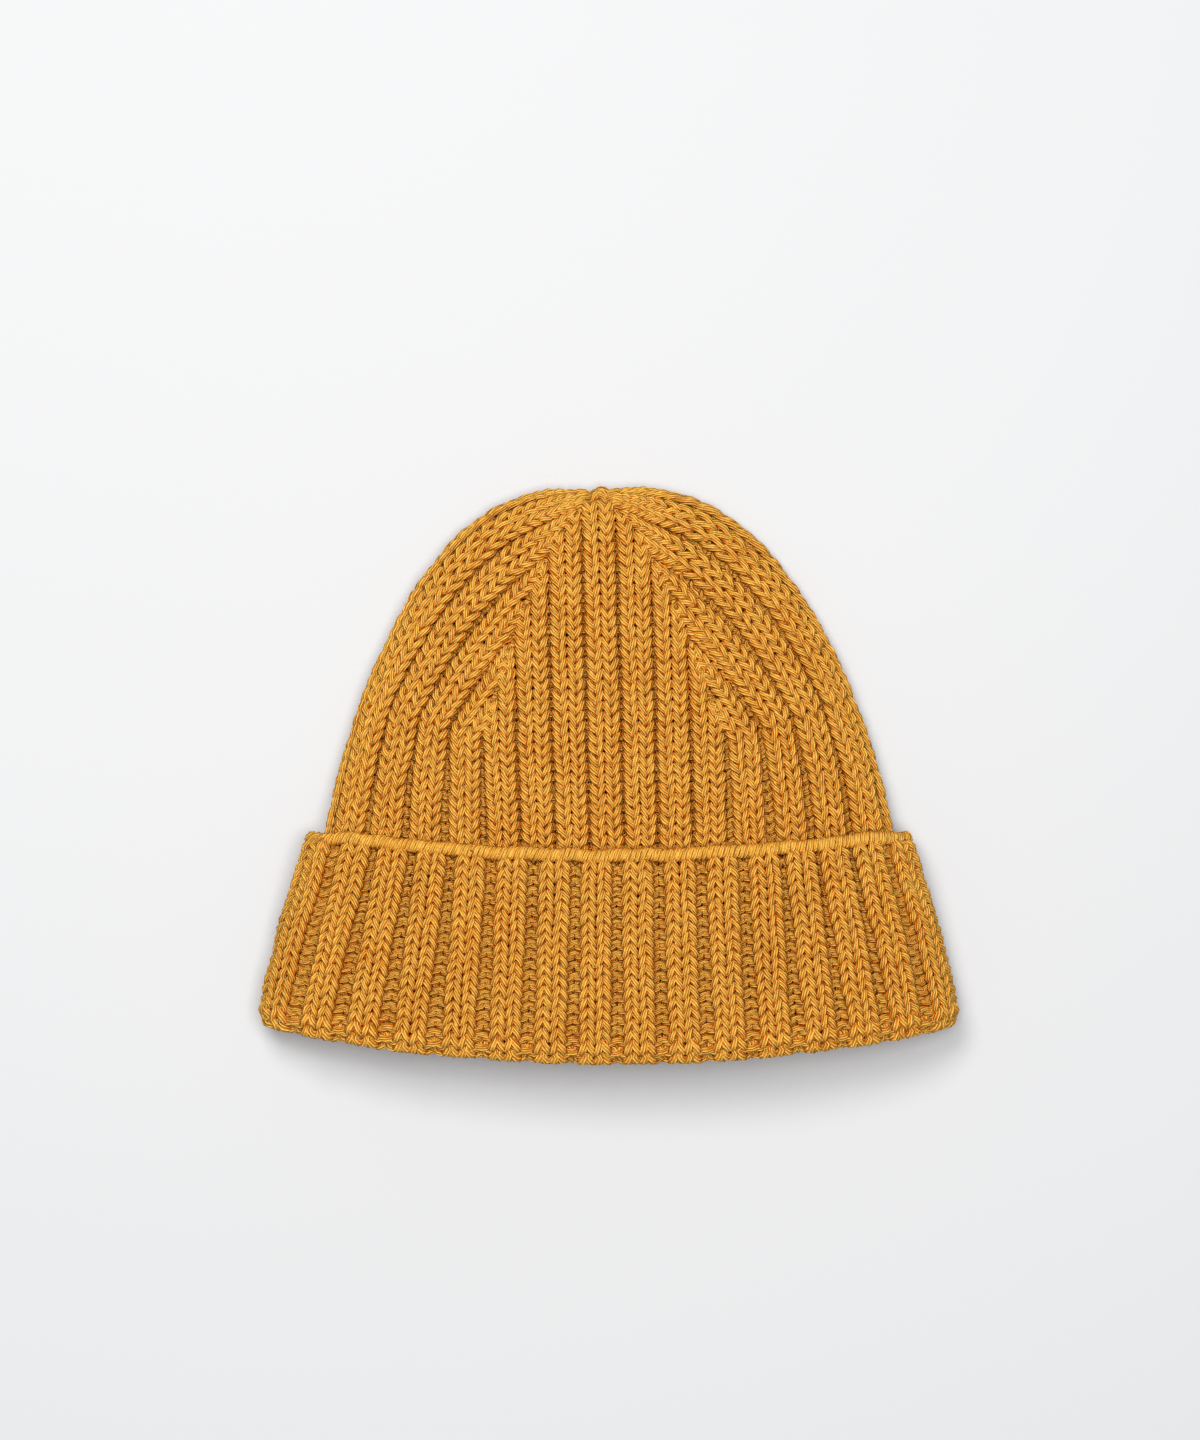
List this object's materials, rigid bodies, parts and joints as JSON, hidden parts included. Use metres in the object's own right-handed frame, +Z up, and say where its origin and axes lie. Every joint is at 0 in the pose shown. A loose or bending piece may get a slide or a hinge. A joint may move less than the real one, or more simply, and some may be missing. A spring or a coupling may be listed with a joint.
{
  "type": "ribbed knit hat with a turned-up cuff",
  "caption": "Ribbed knit beanie lying flat, with a rounded crown shaped by slanting decrease lines, a wide turned-up cuff and an open hollow for the head.",
  "frame": {"origin": "on the table, under the middle of the hat's bounding box", "axes": "+X across the hat along the cuff, +Y from the mouth to the tip of the crown, +Z up through the flat hat"},
  "size_m": [0.2305, 0.1935, 0.04],
  "materials": {
    "crown_yarn": "soft mustard wool yarn, knitted in a two by two rib",
    "cuff_yarn": "soft mustard wool yarn, knitted in a two by two rib, seen from its reverse"
  },
  "bodies": {
    "root": {"crown": "crown_yarn", "turned_cuff": "cuff_yarn"}
  },
  "joints": []
}
